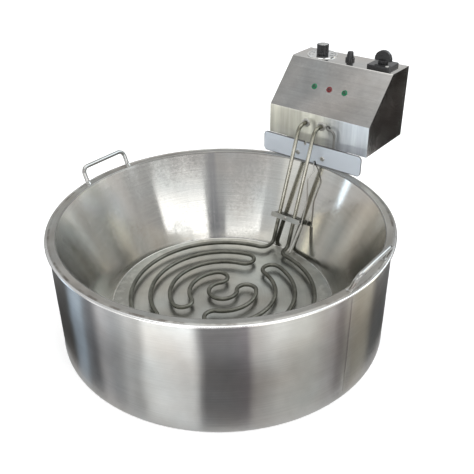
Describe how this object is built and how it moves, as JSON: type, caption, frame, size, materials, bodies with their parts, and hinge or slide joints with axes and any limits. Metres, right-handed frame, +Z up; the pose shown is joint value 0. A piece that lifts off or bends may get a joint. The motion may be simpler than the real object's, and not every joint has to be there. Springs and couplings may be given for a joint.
{
  "type": "churro fryer",
  "caption": "Electric churro fryer: round double-walled steel pan with rod handles and a lift-off control box that hangs a coiled heating element in the bowl.",
  "frame": {"origin": "on the ground, under the middle of the round pan", "axes": "+Z up, +Y from the middle of the pan towards the control box, the two handles on X"},
  "size_m": [0.6014, 0.7705, 0.42],
  "materials": {
    "pan_steel": "stainless sheet, brushed around the pan, lightly used",
    "rim_steel": "polished stainless rim",
    "bowl_steel": "satin stainless, brushed around the bowl",
    "floor_steel": "bright stainless, nearly a mirror",
    "handle_steel": "polished stainless rod",
    "element_steel": "heat-darkened stainless tube",
    "clip_steel": "bright stainless strip",
    "hanger_steel": "satin stainless strip",
    "box_steel": "satin stainless sheet",
    "fastener_steel": "bright zinc-plated or stainless fasteners",
    "brass": "turned brass",
    "probe_metal": "bright nickel-plated copper",
    "ceramic": "unglazed white ceramic",
    "dial_metal": "satin aluminium dial",
    "cap_metal": "spun aluminium cap",
    "black_plastic": "black moulded plastic",
    "body_plastic": "dark moulded plastic",
    "green_lens": "green translucent lens",
    "red_lens": "red translucent lens",
    "rubber": "black rubber",
    "lead_cover": "glass-sleeved high-temperature lead"
  },
  "bodies": {
    "pan": {"outer_skirt": "pan_steel", "rim_ring": "rim_steel", "bowl_cone": "bowl_steel", "bowl_floor": "floor_steel", "left_handle": "handle_steel", "right_handle": "handle_steel"},
    "head": {"heating_element": "element_steel", "clip_front_strip": "clip_steel", "clip_rear_strip": "clip_steel", "hanger_plate": "hanger_steel", "hanger_angle": "hanger_steel", "rear_stay": "hanger_steel", "box_wrap": "box_steel", "left_side_panel": "box_steel", "right_side_panel": "box_steel", "back_cover": "box_steel", "base_plate": "box_steel", "element_ferrules": "fastener_steel", "element_nuts": "fastener_steel", "element_studs": "fastener_steel", "clip_screw": "fastener_steel", "clip_nut": "fastener_steel", "hanger_bolts": "fastener_steel", "hanger_nuts": "fastener_steel", "base_bolts": "fastener_steel", "base_nuts": "fastener_steel", "cover_screws": "fastener_steel", "base_screws": "fastener_steel", "thermostat_nut": "fastener_steel", "selector_screws": "fastener_steel", "lamp_nuts": "fastener_steel", "terminal_screws": "fastener_steel", "block_screws": "fastener_steel", "earth_stud": "brass", "earth_nut": "brass", "thermostat_probe": "probe_metal", "element_insulators": "ceramic", "dial_disc": "dial_metal", "reset_collar": "black_plastic", "selector_plate": "black_plastic", "lamp_bodies": "black_plastic", "gland_body": "black_plastic", "gland_cap": "black_plastic", "gland_locknut": "black_plastic", "thermostat_body": "body_plastic", "safety_body": "body_plastic", "switch_body": "body_plastic", "terminal_block": "body_plastic", "green_lenses": "green_lens", "red_lens": "red_lens", "capillary_grommet": "rubber", "element_leads": "lead_cover", "earth_lead": "lead_cover", "control_leads": "lead_cover"},
    "knob": {"thermostat_knob": "black_plastic", "knob_cap": "cap_metal", "thermostat_shaft": "fastener_steel"},
    "selector": {"selector_handle": "black_plastic", "selector_shaft": "fastener_steel"},
    "reset": {"reset_button": "black_plastic"}
  },
  "joints": [
    {"name": "head_lift", "type": "slide", "parent": "pan", "child": "head", "axis": [0, 0, 1], "range_m": [0, 0.2]},
    {"name": "thermostat_turn", "type": "hinge", "parent": "head", "child": "knob", "pos_m": [-0.064, 0.4175, 0.39], "axis": [0, 0, -1], "range_deg": [0, 270]},
    {"name": "selector_turn", "type": "hinge", "parent": "head", "child": "selector", "pos_m": [0.074, 0.4175, 0.39], "axis": [0, 0, -1], "range_deg": [-60, 60]},
    {"name": "reset_press", "type": "slide", "parent": "head", "child": "reset", "axis": [0, 0, -1], "range_m": [0, 0.004], "stiffness_N_per_m": 1500}
  ]
}
